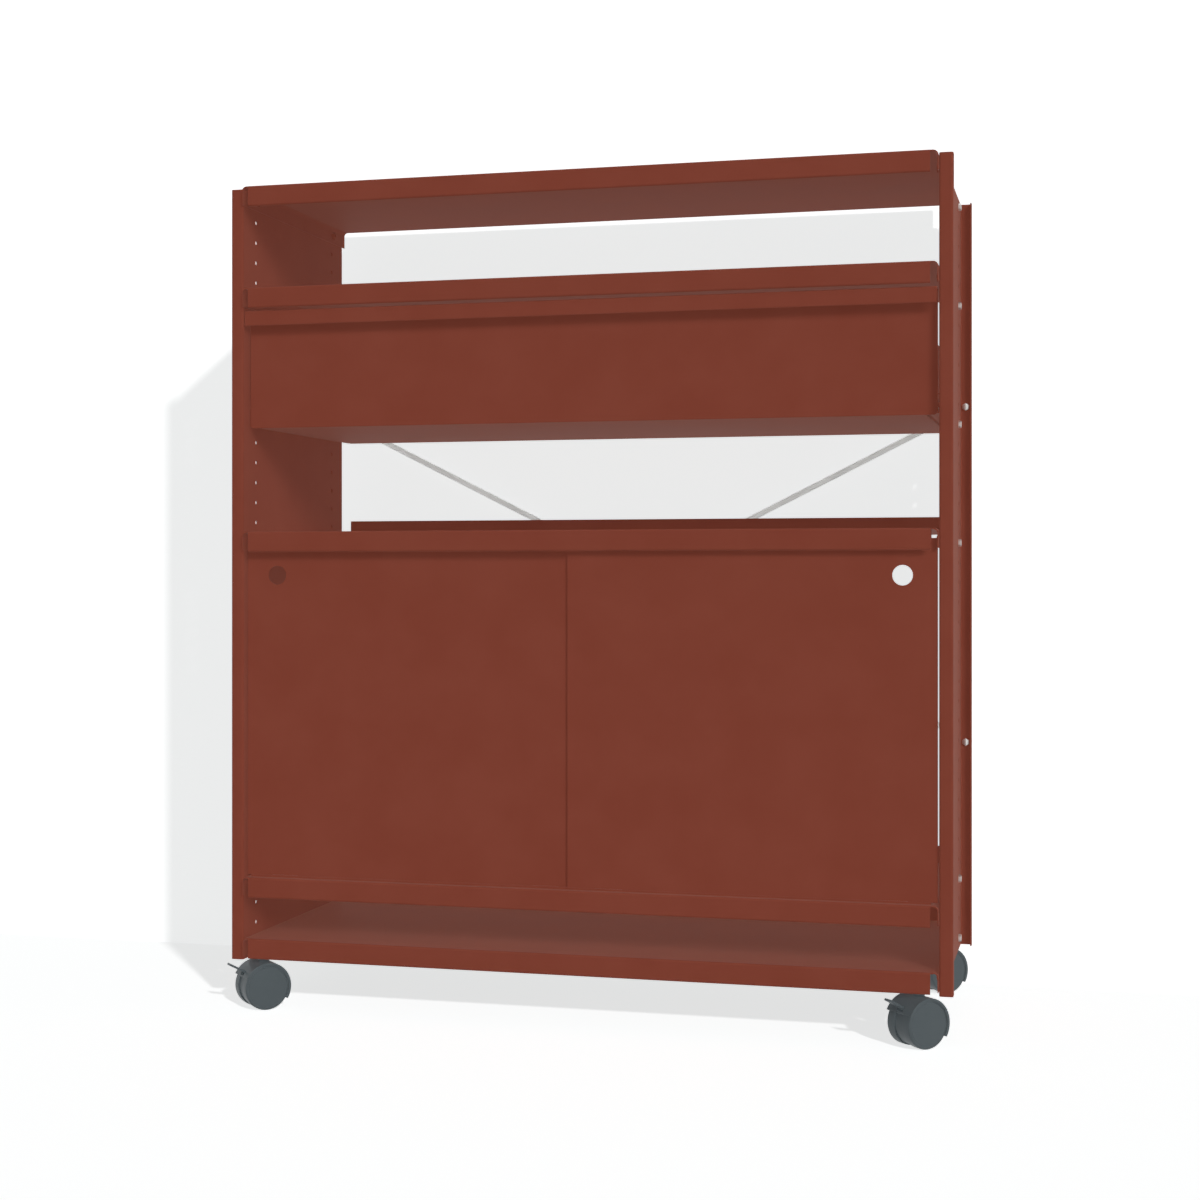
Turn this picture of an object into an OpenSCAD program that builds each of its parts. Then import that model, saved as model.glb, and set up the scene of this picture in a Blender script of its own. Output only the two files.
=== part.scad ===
// Tall sideboard on wheels, folded from powder coated sheet steel.
// Two side panels carry five lipped shelves, a drawer, a pair of sliding
// doors, a cross brace at the back and four twin wheel castors.
// Origin: on the floor, under the middle of the frame. Front faces -Y, +Z is up.

/* [Side panels] */
// Height of the side panels
panel_h = 1140; // [1080:30:1500]
// Depth of the side panels, front to back
panel_d = 390; // [350:10:460]
// Clear width between the two side panels
clear_w = 1018; // [860:2:1200]
// Sheet thickness of the side panels
panel_t = 2; // [1.5:0.5:2.5]
// Width of the flanges along the front and back edges
flange_w = 19; // [16:1:26]
// Depth of the lip that stiffens each flange
flange_lip = 15; // [10:1:20]
// Inner radius of the side panel bends
panel_ri = 1.5; // [1:0.5:2.5]
// Diameter of the shelf holes
hole_d = 6.5; // [6.3:0.1:7]
// Pitch of the shelf holes
hole_pitch = 30; // [30:1:32]
// Height of the lowest hole above the foot of the panel
hole_start = 18; // [16:1:20]
// Distance of the hole columns from the front and back faces
hole_inset = 47.5; // [40:0.5:55]

/* [Shelves] */
// Sheet thickness of the shelves
shelf_t = 1.5; // [1.2:0.1:2]
// Height of the front lip
shelf_lip = 30; // [28:1:34]
// Depth of the small return under the front lip
shelf_return = 4; // [3.6:0.1:4.4]
// Inner radius of the front and back bends
shelf_ri = 1.5; // [1:0.1:1.6]
// Inner radius of the end bends
shelf_end_ri = 6; // [2:0.5:6.5]
// Height of the end flanges
shelf_end_h = 27; // [25:1:28]
// Height of the upstand along the back
upstand_h = 26; // [20:1:30]
// Notch between the front lip and each end
notch_w = 11; // [9:1:14]
// Gap between the upstand and each end
upstand_gap = 12; // [10:1:24]
// Distance that the shelves stand out in front of and behind the panels
shelf_over = 8; // [0:0.5:10]
// Height of a shelf's top over its bolts
bolt_drop = 15; // [14.5:0.5:16]
// Hole that carries the floor of the cabinet, counted from 0
cabinet_floor_hole = 3; // [3:1:6]
// Hole that carries the top of the cabinet
cabinet_top_hole = 20; // [14:1:21]
// Holes between the drawer runners and the shelf over the drawer
runner_down = 6; // [5:1:7]
// Holes between the shelf over the drawer and the top shelf
drawer_shelf_down = 5; // [5:1:6]

/* [Sliding doors] */
// Sheet thickness of the doors
door_t = 2; // [1.5:0.1:2.2]
// Overlap of the closed doors
door_overlap = 26; // [20:1:60]
// Diameter of the finger holes
finger_d = 28; // [24:1:34]
// Distance of a finger hole from the door's outer edge
finger_inset = 47.5; // [40:0.5:70]
// Distance of a finger hole below the door's top edge
finger_drop = 50.5; // [45:0.5:90]
// Width of a track groove
groove_w = 4.4; // [4.2:0.1:4.6]
// Wall of the tracks
track_wall = 1; // [0.8:0.1:1.1]
// Height of the bottom track
track_low_h = 3; // [2.8:0.2:4]
// Height of the top track
track_high_h = 18; // [15:0.5:20]

/* [Drawer] */
// Recess of the drawer front behind the shelf lips
front_recess = 20; // [18:1:24]
// Height of the folded grip lip
grip_h = 22; // [18:1:26]
// Gap between the drawer front and each side panel
front_gap = 3; // [2:0.5:4]
// Gap between the grip lip and the shelf over it
grip_gap = 3; // [3:0.5:6]
// Radius of the lower corners of the drawer front
front_corner_r = 6; // [4:1:8]
// Sheet thickness of the drawer
drawer_t = 1.5; // [1.2:0.1:1.6]
// Height of the drawer box
box_h = 120; // [80:5:140]
// Gap between the drawer box and each side panel
box_gap = 20; // [20:0.5:22]
// Distance of the drawer's back in front of the back face
box_setback = 12; // [10:1:30]
// Depth of the runner bolts over the drawer's underside
runner_drop = 10.5; // [10:0.5:12]
// Diameter of the runner rollers
roller_d = 20; // [18:0.5:20]
// Width of the runner rollers
roller_w = 7; // [6:0.5:7]

/* [Cross brace] */
// Diameter of the brace rods
rod_d = 9; // [6:0.5:10]
// Height of the rod ends above and below the middle of the panels
brace_rise = 258; // [200:1:280]
// Length of the sleeves that hold the brace behind the shelves
rod_standoff = 20; // [12:1:30]

/* [Castors] */
// Diameter of the wheels
wheel_d = 67; // [60:1:72]
// Width of one wheel
wheel_w = 17.5; // [16:0.5:20]
// Width of the housing between the wheels
housing_w = 15; // [15:0.5:17]
// Outer radius of the hood
hood_r = 36; // [34.9:0.1:38]
// Gap between the hood and the foot of the panels
hood_gap = 1.5; // [1.5:0.1:3]
// Offset of the wheels from the swivel axis
trail = 3; // [2:0.5:5]
// Distance of the swivel axis inside the panel's outer face
castor_in_x = 30; // [28:1:34]
// Distance of the swivel axis from the front and back faces
castor_in_y = 12; // [12:0.5:16]
// Direction of the castors seen from above
castor_turn = 225; // [0:5:360]

/* [Hidden] */
$fn = 48;
// Overshoot of a cut past the face it opens
cut = 1;

// Colours
coat = "#7B3C2F";
zinc = "#D5D6D4";
rod_grey = "#BDBDBD";
castor_grey = "#50575A";
nylon = "#E2E0DA";

// Side panel and hole grid
foot_z = wheel_d / 2 + hood_r + hood_gap;
panel_top = foot_z + panel_h;
web_in = clear_w / 2;
web_out = web_in + panel_t;
panel_out = web_in + flange_w;
front_y = -panel_d / 2;
back_y = panel_d / 2;
panel_bend = panel_t + panel_ri;
hole_y = panel_d / 2 - hole_inset;
hole_count = floor((panel_h - hole_start) / hole_pitch) + 1;
top_hole = hole_count - 1;
drawer_shelf_hole = top_hole - drawer_shelf_down;
runner_hole = drawer_shelf_hole - runner_down;
function hole_z(k) = foot_z + hole_start + k * hole_pitch;
function shelf_z(k) = hole_z(k) + bolt_drop;

// Shelf
shelf_fit = 0.2;
shelf_half = web_in - shelf_fit;
shelf_bend = shelf_t + shelf_ri;
shelf_end_bend = shelf_t + shelf_end_ri;
shelf_front = front_y - shelf_over;
shelf_back = back_y + shelf_over;
shelf_holes = [0, cabinet_floor_hole, cabinet_top_hole, drawer_shelf_hole, top_hole];

// Hexagon bolts through the panel and the shelf end
bolt_d = 6;
bolt_af = 10;
bolt_head = 4;
bolt_len = 12;
nut_h = 5;
thin_nut_h = 3;

// Tracks and doors
track_front = front_y + shelf_return;
track_pitch = groove_w + track_wall;
track_d = 3 * track_wall + 2 * groove_w;
track_len = 2 * (shelf_half - notch_w);
right_door_y = track_front + track_wall + groove_w / 2;
left_door_y = right_door_y + track_pitch;
floor_top = shelf_z(cabinet_floor_hole);
cabinet_top_under = shelf_z(cabinet_top_hole) - shelf_t;
glide_gap = 0.3;
glide_foot = 1.1;
glide_t = groove_w - 0.8;
glide_len = 40;
glide_h = 9;
glide_low_h = track_low_h - track_wall - glide_gap;
glide_inset = 60;
door_bottom = floor_top + track_wall + glide_gap + glide_foot;
door_top_gap = 12;
door_top = cabinet_top_under - door_top_gap;
door_h = door_top - door_bottom;
door_edge_gap = 2;
door_w = (clear_w + door_overlap) / 2 - door_edge_gap;

// Drawer and runners
drawer_under = hole_z(runner_hole) - runner_drop;
grip_top = shelf_z(drawer_shelf_hole) - shelf_lip - grip_gap;
front_half = web_in - front_gap;
box_half = web_in - box_gap;
drawer_bend = drawer_t + 1.5;
front_face = front_y + front_recess;
box_front = front_face + drawer_t;
box_back = back_y - box_setback;
rail_t = 1.5;
rail_h = 27;
rail_depth = 16;
rail_lead = 3;
rail_front = box_front + rail_lead;
rail_setback = 25;
rail_back = back_y - rail_setback;
rail_lift = 2.5;
rail_low = drawer_under + rail_lift;
rail_floor = rail_low + rail_t;
rail_ri = 1;
rail_bend = rail_t + rail_ri;
roll_gap = 0.3;
roller_in_gap = 2;
roller_in = web_in - rail_t - thin_nut_h - roller_in_gap;
roller_r = roller_d / 2;
roller_front_in = 12;
roller_front_y = rail_front + roller_front_in;
roller_back_in = 16;
roller_back_y = rail_back - roller_back_in;
back_roller_z = rail_floor + roll_gap + roller_r;
roller_step = 0.6;
front_roller_z = back_roller_z + roller_step;
member_flange = front_roller_z + roller_r + roll_gap;
pin_d = 4;
pin_fit = 0.05;
pin_head_d = 7;
pin_head_t = 0.8;
side_gap = 0.2;
member_depth = 14;
member_setback = 8;
member_back = box_back - member_setback;
roller_stop_gap = 0.5;
stud_d = 5;
stud_l = 8;
stud_xs = [-box_half * 0.8, 0, box_half * 0.8];
stud_low = 30;
stud_high = 20;
stud_zs = [drawer_under + stud_low, drawer_under + box_h - stud_high];

// Cross brace
brace_mid = foot_z + panel_h / 2;
brace_x = web_in + flange_w / 2;
lug_t = 3;
lug_d = 16;
lug_sink = 1;
rod_gap = 0.5;
front_rod_y = back_y + rod_standoff + rod_d / 2;
back_rod_y = front_rod_y + rod_d + rod_gap;
spacer_l = rod_d + rod_gap;

// Castors
axle_z = wheel_d / 2;
swivel_x = web_out - castor_in_x;
swivel_y = panel_d / 2 - castor_in_y;
axle_d = 6;
axle_fit = 0.05;
wheel_gap = 0.5;
wheel_edge = 3;
wheel_cap = 1.5;
wheel_inner = housing_w / 2 + wheel_gap;
wheel_outer = wheel_inner + wheel_w;
hood_t = 1.7;
hood_half = wheel_outer;
hood_lip = 4;
hood_lip_t = 1.2;
hood_low_angle = 26;
hood_high_angle = 212;
neck_d = 16;
neck_sink = 2;
neck_low = axle_z + hood_r - neck_sink;
stem_d = 10;
stem_fit = 0.05;
under_shelf = shelf_z(0) - shelf_t;
bracket_t = 3;
bracket_x = 58;
bracket_y = 50;
boss_d = 16;
boss_l = 20;
boss_low = under_shelf - bracket_t - boss_l;
collar_h = 2;
collar_af = 14;
plate_gap = 0.3;
plate_x = shelf_half - shelf_end_bend - plate_gap;
plate_over_y = 7;
plate_y = swivel_y + plate_over_y;
neck_top = boss_low - collar_h - 0.2;
stem_lift = 7;
stem_low = axle_z + axle_d / 2 + stem_lift;
lever_t = 3;
lever_w = 11;
lever_pad_w = 14;
lever_pivot = [12, 13.6];
lever_pin_d = 4;
lever_rise = 29;
lever_press = 12;
lever_reach = 44.6;
lever_neck = 22;
lever_hub_d = 7;
lever_gap = 0.5;
body_floor_gap = 2;
body_r = wheel_d / 2 - body_floor_gap;

// Quarter of a bend, from -90 to 0 degrees about its centre
module bend_quarter(ri, t) {
    difference() {
        intersection() {
            circle(ri + t);
            translate([0, -ri - t]) square(ri + t);
        }
        circle(ri);
    }
}

// Section of a folded sheet: each step is [flat length, turn of 90 or -90 degrees]
module fold(steps, t, ri, i = 0) {
    run = steps[i][0];
    turn = steps[i][1];
    if (run > 0) square([run, t]);
    if (turn > 0) translate([run, t + ri]) {
        bend_quarter(ri, t);
        translate([ri + t, 0]) rotate(90) fold(steps, t, ri, i + 1);
    }
    if (turn < 0) translate([run, -ri]) {
        rotate(90) bend_quarter(ri, t);
        translate([ri, 0]) rotate(-90) fold(steps, t, ri, i + 1);
    }
}

// Extrusion of a section drawn in Y and Z, centred along X
module along_x(len) {
    translate([-len / 2, 0, 0]) rotate([90, 0, 90]) linear_extrude(len) children();
}

// Round bar along X from x0 to x1
module bar_x(d, x0, x1) {
    translate([x0, 0, 0]) rotate([0, 90, 0]) cylinder(d = d, h = x1 - x0);
}

// Copies on the left and the right
module both_sides() {
    children();
    mirror([1, 0, 0]) children();
}

// One side panel, drawn on the right
module side_panel() {
    section = [[flange_lip - panel_bend, -90], [flange_w - 2 * panel_bend, -90],
        [panel_d - 2 * panel_bend, -90], [flange_w - 2 * panel_bend, -90],
        [flange_lip - panel_bend, 0]];
    color(coat) difference() {
        translate([panel_out - panel_t, front_y + flange_lip, foot_z])
            linear_extrude(panel_h) rotate(-90) fold(section, panel_t, panel_ri);
        for (k = [0 : hole_count - 1], y = [-hole_y, hole_y])
            translate([0, y, hole_z(k)]) bar_x(hole_d, web_in - cut, web_out + cut);
        for (s = [-1, 1])
            translate([brace_x, back_y + cut, brace_mid + s * brace_rise])
                rotate([90, 0, 0]) cylinder(d = hole_d, h = panel_t + 2 * cut);
    }
}

module side_panel_right() { side_panel(); }
module side_panel_left() { mirror([1, 0, 0]) side_panel(); }

// One shelf with its top face at z
module shelf(z) {
    front = [[shelf_return - shelf_bend, -90], [shelf_lip - 2 * shelf_bend, -90], [0, 0]];
    back = [[0, 90], [upstand_h - shelf_ri, 0]];
    side = [[0, -90], [shelf_end_h - shelf_end_bend, 0]];
    flat = shelf_back - shelf_front - 2 * shelf_bend;
    color(coat) translate([0, 0, z]) difference() {
        union() {
            along_x(2 * (shelf_half - notch_w))
                translate([shelf_front + shelf_return, shelf_t - shelf_lip])
                    rotate(180) fold(front, shelf_t, shelf_ri);
            along_x(2 * (shelf_half - upstand_gap))
                translate([shelf_back - shelf_bend, -shelf_t]) fold(back, shelf_t, shelf_ri);
            translate([-(shelf_half - shelf_end_bend), shelf_front + shelf_bend, -shelf_t])
                cube([2 * (shelf_half - shelf_end_bend), flat, shelf_t]);
            both_sides()
                translate([shelf_half - shelf_end_bend, shelf_back - shelf_bend, -shelf_t])
                    rotate([90, 0, 0]) linear_extrude(flat)
                        fold(side, shelf_t, shelf_end_ri);
        }
        both_sides() for (y = [-hole_y, hole_y])
            translate([0, y, -bolt_drop]) bar_x(hole_d, shelf_half - shelf_t - cut, web_in + cut);
    }
}

module top_shelf() { shelf(shelf_z(top_hole)); }
module drawer_shelf() { shelf(shelf_z(drawer_shelf_hole)); }
module cabinet_top() { shelf(shelf_z(cabinet_top_hole)); }
module cabinet_floor() { shelf(shelf_z(cabinet_floor_hole)); }
module bottom_shelf() { shelf(shelf_z(0)); }

// Hexagon bolt along -X with the underside of its head at x = 0
module hex_bolt(len) {
    bar_x(bolt_d, -len, 0);
    rotate([0, 90, 0]) intersection() {
        cylinder(d = bolt_af / cos(30), h = bolt_head, $fn = 6);
        cylinder(d1 = bolt_af / cos(30) + 4, d2 = bolt_af, h = bolt_head + 0.4);
    }
}

// Hexagon nut whose outer face lies at x = 0, towards -X
module hex_nut(h, d = bolt_d, af = bolt_af) {
    translate([-h, 0, 0]) rotate([0, 90, 0]) difference() {
        cylinder(d = af / cos(30), h = h, $fn = 6);
        translate([0, 0, -cut]) cylinder(d = d + 0.1, h = h + 2 * cut);
    }
}

module shelf_bolts() {
    color(zinc) both_sides() for (k = shelf_holes, y = [-hole_y, hole_y])
        translate([web_out, y, hole_z(k)]) hex_bolt(bolt_len);
}

module shelf_nuts() {
    color(coat) both_sides() for (k = shelf_holes, y = [-hole_y, hole_y])
        translate([shelf_half - shelf_t, y, hole_z(k)]) hex_nut(nut_h);
}

// Brace rod with a flat drilled lug at each end; rise is its climb towards +X
module brace_rod(y, rise) {
    span = 2 * brace_x;
    angle = atan2(2 * rise, span);
    len = sqrt(span * span + 4 * rise * rise);
    bare = len - lug_d + 2 * lug_sink;
    color(rod_grey) translate([0, y, brace_mid]) rotate([0, -angle, 0]) difference() {
        union() {
            bar_x(rod_d, -bare / 2, bare / 2);
            for (s = [-1, 1]) translate([s * len / 2, 0, 0]) {
                translate([0, -rod_d / 2 + lug_t, 0]) rotate([90, 0, 0])
                    cylinder(d = lug_d, h = lug_t);
                translate([s > 0 ? -lug_d : 0, -rod_d / 2, -rod_d / 2]) cube([lug_d, lug_t, rod_d]);
            }
        }
        for (s = [-1, 1]) translate([s * len / 2, rod_d / 2 + cut, 0]) rotate([90, 0, 0])
            cylinder(d = hole_d, h = rod_d + 2 * cut);
        for (s = [-1, 1]) translate([s * len / 2 - bolt_af, -rod_d / 2 + lug_t, -rod_d])
            cube([2 * bolt_af, rod_d, 2 * rod_d]);
    }
}

module brace_rod_front() { brace_rod(front_rod_y, brace_rise); }
module brace_rod_back() { brace_rod(back_rod_y, -brace_rise); }

// The four ends of the brace
module at_brace_ends(which) {
    for (s = [-1, 1]) if (which == "all" || (which == "front") == (s > 0))
        for (m = [-1, 1]) translate([m * brace_x, back_y, brace_mid + m * s * brace_rise])
            children();
}

module brace_bolts() {
    grip = panel_t + rod_standoff + lug_t + nut_h + 2;
    color(zinc) {
        at_brace_ends("front") translate([0, -panel_t, 0]) rotate([0, 0, -90]) hex_bolt(grip);
        at_brace_ends("back") translate([0, -panel_t, 0]) rotate([0, 0, -90])
            hex_bolt(grip + spacer_l);
    }
}

module brace_nuts() {
    color(zinc) {
        at_brace_ends("front") translate([0, rod_standoff + lug_t, 0]) rotate([0, 0, -90])
            hex_nut(nut_h);
        at_brace_ends("back") translate([0, rod_standoff + lug_t + spacer_l, 0]) rotate([0, 0, -90])
            hex_nut(nut_h);
    }
}

// Sleeves that hold the rods behind the shelves; the back rod's are longer by one rod
module brace_spacers() {
    module sleeve(l) {
        rotate([-90, 0, 0]) difference() {
            cylinder(d = 12, h = l);
            translate([0, 0, -cut]) cylinder(d = bolt_d + 0.4, h = l + 2 * cut);
        }
    }
    color(zinc) {
        at_brace_ends("front") sleeve(rod_standoff);
        at_brace_ends("back") sleeve(rod_standoff + spacer_l);
    }
}

// Twin groove track section, open upwards, height h
module track_section(h) {
    square([track_d, track_wall]);
    for (i = [0 : 2]) translate([i * track_pitch, 0]) square([track_wall, h]);
}

module door_track_bottom() {
    color(coat) along_x(track_len) translate([track_front, floor_top])
        track_section(track_low_h);
}

module door_track_top() {
    color(coat) along_x(track_len) translate([track_front, cabinet_top_under])
        mirror([0, 1]) track_section(track_high_h);
}

// One door from x0 to x0 + door_w, finger hole near its left or right edge
module door(x0, y, hole_x) {
    color(coat) difference() {
        translate([x0, y - door_t / 2, door_bottom]) cube([door_w, door_t, door_h]);
        translate([hole_x, y + door_t, door_top - finger_drop]) rotate([90, 0, 0])
            cylinder(d = finger_d, h = 2 * door_t);
    }
}

door_left_x = -web_in + door_edge_gap;
door_right_x = web_in - door_edge_gap - door_w;

module door_left() { door(door_left_x, left_door_y, door_left_x + finger_inset); }
module door_right() { door(door_right_x, right_door_y, door_right_x + door_w - finger_inset); }

// Slotted nylon clips on a door's top and bottom edges
module glides(x0, y) {
    color(nylon) for (x = [x0 + glide_inset, x0 + door_w - glide_inset]) difference() {
        union() {
            translate([x - glide_len / 2, y - glide_t / 2, door_bottom - glide_foot])
                cube([glide_len, glide_t, glide_low_h]);
            translate([x - glide_len / 2, y - glide_t / 2, door_top + glide_foot - glide_h])
                cube([glide_len, glide_t, glide_h]);
        }
        translate([x - glide_len, y - door_t / 2, door_bottom])
            cube([2 * glide_len, door_t, door_h]);
    }
}

module door_glides_left() { glides(door_left_x, left_door_y); }
module door_glides_right() { glides(door_right_x, right_door_y); }

// Drawer front: flat face, grip lip folded forward and down, short side returns
module drawer_front() {
    face_top = grip_top - drawer_bend;
    lip = [[grip_h - drawer_bend, -90], [front_recess + drawer_t - 2 * drawer_bend, -90], [0, 0]];
    color(coat) {
        along_x(2 * front_half) translate([front_y + drawer_t, grip_top - grip_h])
            rotate(90) fold(lip, drawer_t, drawer_bend - drawer_t);
        translate([0, box_front, 0]) rotate([90, 0, 0]) linear_extrude(drawer_t) union() {
            translate([-front_half, drawer_under + front_corner_r])
                square([2 * front_half, face_top - drawer_under - front_corner_r]);
            translate([-front_half + front_corner_r, drawer_under])
                square([2 * (front_half - front_corner_r), front_corner_r]);
            for (s = [-1, 1])
                translate([s * (front_half - front_corner_r), drawer_under + front_corner_r])
                    circle(front_corner_r);
        }
        for (x = stud_xs, z = stud_zs) translate([x, box_front, z])
            rotate([-90, 0, 0]) cylinder(d = stud_d, h = stud_l);
    }
}

// Drawer box: floor, sides and back with folded rims, and a flange behind the front
module drawer_box() {
    rim = 6;
    depth = box_back - box_front;
    color(coat) difference() {
        union() {
            translate([-box_half, box_front, drawer_under]) cube([2 * box_half, depth, drawer_t]);
            both_sides() {
                translate([box_half - drawer_t, box_front, drawer_under])
                    cube([drawer_t, depth, box_h]);
                translate([box_half - rim, box_front, drawer_under + box_h - drawer_t])
                    cube([rim, depth, drawer_t]);
            }
            for (y = [box_front, box_back - drawer_t]) translate([-box_half, y, drawer_under])
                cube([2 * box_half, drawer_t, box_h]);
            translate([-box_half, box_back - rim, drawer_under + box_h - drawer_t])
                cube([2 * box_half, rim, drawer_t]);
        }
        for (x = stud_xs, z = stud_zs) translate([x, box_front - cut, z])
            rotate([-90, 0, 0]) cylinder(d = stud_d + 0.5, h = drawer_t + 2 * cut);
    }
}

// Nuts on the welded studs that hold the drawer front to the box
module drawer_nuts() {
    color(zinc) for (x = stud_xs, z = stud_zs)
        translate([x, box_front + drawer_t, z]) rotate([0, 0, -90]) hex_nut(4, stud_d, 8);
}

// Runner on the panel, drawn on the right: a channel with a roller pin near its front
module runner() {
    section = [[rail_depth - rail_bend, 90], [rail_h - 2 * rail_bend, 90],
        [rail_depth - rail_bend, 0]];
    color(coat) difference() {
        union() {
            translate([web_in - rail_depth, rail_back, rail_low]) rotate([90, 0, 0])
                linear_extrude(rail_back - rail_front) fold(section, rail_t, rail_ri);
            translate([0, roller_front_y, front_roller_z]) {
                bar_x(pin_d, roller_in - roller_w - side_gap - cut, web_in - rail_t / 2);
                bar_x(pin_head_d, roller_in - roller_w - side_gap - 1, roller_in - roller_w - side_gap);
                bar_x(pin_head_d, roller_in + side_gap, web_in - rail_t / 2);
            }
            translate([roller_in - roller_w, roller_back_y + roller_r + roller_stop_gap,
                rail_floor - rail_t / 2]) cube([roller_w, rail_t, roller_r + 2]);
        }
        for (y = [-hole_y, hole_y]) translate([0, y, hole_z(runner_hole)])
            bar_x(hole_d, web_in - rail_t - cut, web_in + cut);
    }
}

module runner_right() { runner(); }
module runner_left() { mirror([1, 0, 0]) runner(); }

module runner_bolts() {
    color(zinc) both_sides() for (y = [-hole_y, hole_y])
        translate([web_out, y, hole_z(runner_hole)])
            hex_bolt(panel_t + rail_t + thin_nut_h + 0.3);
}

module runner_nuts() {
    color(zinc) both_sides() for (y = [-hole_y, hole_y])
        translate([web_in - rail_t, y, hole_z(runner_hole)]) rotate([30, 0, 0])
            hex_nut(thin_nut_h);
}

// Rail on the drawer, drawn on the right: an angle that rides on the front roller
// and carries the back roller
module drawer_rail() {
    section = [[member_flange + rail_t - drawer_under - rail_bend, -90],
        [member_depth - rail_bend, 0]];
    color(coat) {
        translate([box_half + rail_t, member_back, drawer_under]) rotate([90, 0, 0])
            linear_extrude(member_back - rail_front) rotate(90) fold(section, rail_t, rail_ri);
        translate([0, roller_back_y, back_roller_z]) {
            bar_x(pin_d, box_half + rail_t / 2, roller_in + side_gap + pin_head_t);
            bar_x(pin_head_d, box_half + rail_t / 2, roller_in - roller_w - side_gap);
            bar_x(pin_head_d, roller_in + side_gap, roller_in + side_gap + pin_head_t);
        }
    }
}

module drawer_rail_right() { drawer_rail(); }
module drawer_rail_left() { mirror([1, 0, 0]) drawer_rail(); }

// One runner roller on the right
module roller(y, z) {
    color(nylon) translate([0, y, z]) difference() {
        bar_x(roller_d, roller_in - roller_w, roller_in);
        bar_x(pin_d + 2 * pin_fit, roller_in - roller_w - cut, roller_in + cut);
    }
}

module roller_front_right() { roller(roller_front_y, front_roller_z); }
module roller_back_right() { roller(roller_back_y, back_roller_z); }
module roller_front_left() { mirror([1, 0, 0]) roller_front_right(); }
module roller_back_left() { mirror([1, 0, 0]) roller_back_right(); }

// Plate and threaded boss under the bottom shelf at each corner
module castor_brackets() {
    color(coat) for (sx = [-1, 1], sy = [-1, 1]) scale([sx, sy, 1]) difference() {
        union() {
            translate([plate_x - bracket_x, plate_y - bracket_y, under_shelf - bracket_t])
                cube([bracket_x, bracket_y, bracket_t]);
            translate([swivel_x, swivel_y, boss_low]) cylinder(d = boss_d, h = boss_l + bracket_t / 2);
        }
        translate([swivel_x, swivel_y, boss_low - cut])
            cylinder(d = stem_d + 0.1, h = boss_l + bracket_t + 2 * cut);
    }
}

// Threaded stem with a hexagon collar at each corner
module castor_stems() {
    color(zinc) for (sx = [-1, 1], sy = [-1, 1]) translate([sx * swivel_x, sy * swivel_y, 0]) {
        translate([0, 0, stem_low]) cylinder(d = stem_d, h = under_shelf - 0.5 - stem_low);
        translate([0, 0, boss_low - collar_h])
            cylinder(d = collar_af / cos(30), h = collar_h, $fn = 6);
    }
}

// Puts a castor piece, drawn with its swivel axis at the origin, at one corner
module at_corner(sx, sy) {
    translate([sx * swivel_x, sy * swivel_y, 0]) rotate([0, 0, castor_turn]) children();
}

// Extrusion of a section drawn in X and Z about the wheels' axis, centred on Y
module across(w) {
    translate([trail, w / 2, axle_z]) rotate([90, 0, 0]) linear_extrude(w) children();
}

// Sector between two angles
module wedge(a0, a1) {
    polygon(concat([[0, 0]], [for (i = [0 : 6]) let (a = a0 + (a1 - a0) * i / 6)
        2 * hood_r * [cos(a), sin(a)]]));
}

// Arc of the hood, as thick as t, towards the axle
module hood_band(t) {
    intersection() {
        difference() {
            circle(hood_r);
            circle(hood_r - t);
        }
        wedge(hood_low_angle, hood_high_angle);
    }
}

// Housing with its hood over both wheels; braked ones have a slot for the lever
module castor_housing(braked) {
    color(castor_grey) difference() {
        union() {
            across(housing_w) {
                circle(body_r);
                intersection() {
                    circle(hood_r);
                    wedge(hood_low_angle, hood_high_angle);
                }
            }
            across(2 * hood_half) hood_band(hood_t);
            for (m = [-1, 1]) translate([0, m * (hood_half - hood_lip_t / 2), 0])
                across(hood_lip_t) hood_band(hood_lip);
            translate([0, 0, neck_low]) cylinder(d = neck_d, h = neck_top - neck_low);
        }
        across(housing_w + 2 * cut) circle(axle_d / 2);
        translate([0, 0, stem_low - cut])
            cylinder(d = stem_d + 2 * stem_fit, h = neck_top - stem_low + 2 * cut);
        if (braked) {
            across(lever_w + 2 * lever_gap) translate(lever_pivot) {
                circle(lever_hub_d / 2 + lever_gap);
                polygon([for (p = [[0, 1, 0], [1, 1, 0], [1, -1, -lever_press], [0, -1, -lever_press]])
                    let (a = lever_rise + p[2], r = lever_t / 2 + lever_gap)
                        p[0] * hood_r * [cos(a), sin(a)] + p[1] * r * [-sin(a), cos(a)]]);
            }
            across(housing_w + 2 * cut) translate(lever_pivot)
                circle(lever_pin_d / 2 + pin_fit);
        }
    }
}

module castor_axle() {
    color(zinc) across(2 * (wheel_outer - wheel_cap - 2.2)) circle(axle_d / 2);
}

// One wheel; side is 1 or -1. Its outer face is closed over the axle
module castor_wheel(side) {
    bore_end = wheel_w - wheel_cap - 2;
    color(castor_grey) translate([trail, 0, axle_z]) rotate([-90 * side, 0, 0])
        translate([0, 0, wheel_inner]) rotate_extrude() {
            translate([axle_d / 2 + axle_fit, 0])
                square([wheel_d / 2 - axle_d / 2 - axle_fit, wheel_w - wheel_cap - wheel_edge]);
            translate([axle_d / 2 + axle_fit, 0])
                square([wheel_d / 2 - wheel_edge - axle_d / 2 - axle_fit, wheel_w - wheel_cap]);
            translate([wheel_d / 2 - wheel_edge, wheel_w - wheel_cap - wheel_edge])
                circle(wheel_edge);
            polygon([[0, bore_end], [wheel_d / 2 - wheel_edge, bore_end],
                [wheel_d / 2 - wheel_edge, wheel_w - wheel_cap],
                [wheel_d / 2 - wheel_edge - 8, wheel_w], [0, wheel_w]]);
        }
}

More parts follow.
